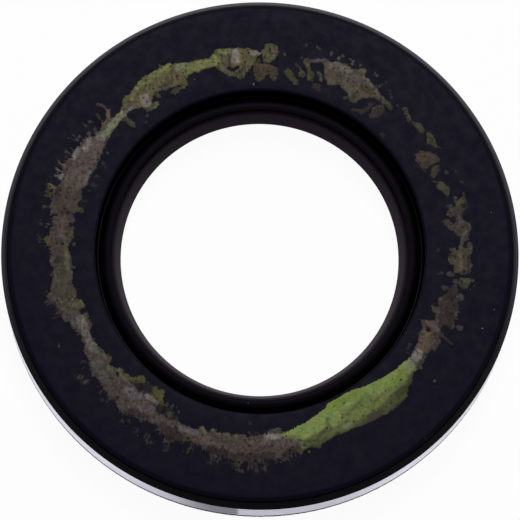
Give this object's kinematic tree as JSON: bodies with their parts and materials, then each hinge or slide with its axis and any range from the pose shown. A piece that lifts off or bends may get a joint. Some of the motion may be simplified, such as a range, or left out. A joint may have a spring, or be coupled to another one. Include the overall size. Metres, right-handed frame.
{
  "type": "radial shaft seal",
  "caption": "Rotary shaft seal: pressed steel case with a ground outside, rubber front, sealing lip with garter spring, and dust lip.",
  "frame": {"origin": "on the seal's axis, in the plane of the case's back edge", "axes": "+Z along the seal's axis, from the oil side towards the air side; +X and +Y across it"},
  "size_m": [0.08, 0.08, 0.0101],
  "materials": {
    "case_steel": "ground bright round the outside, plain pressed steel inside",
    "rubber": "black moulded rubber, nearly matte, with dust specks and fine scratches",
    "spring_steel": "bright drawn spring wire, close wound",
    "green_film": "dried yellow-green film, matte",
    "brown_film": "dried grey-brown crust, mottled, matte",
    "olive_film": "dried olive crust, mottled, matte"
  },
  "bodies": {
    "root": {"steel_case": "case_steel", "sealing_body": "rubber", "garter_spring": "spring_steel", "green_film": "green_film", "brown_film": "brown_film", "olive_film": "olive_film"}
  },
  "joints": []
}
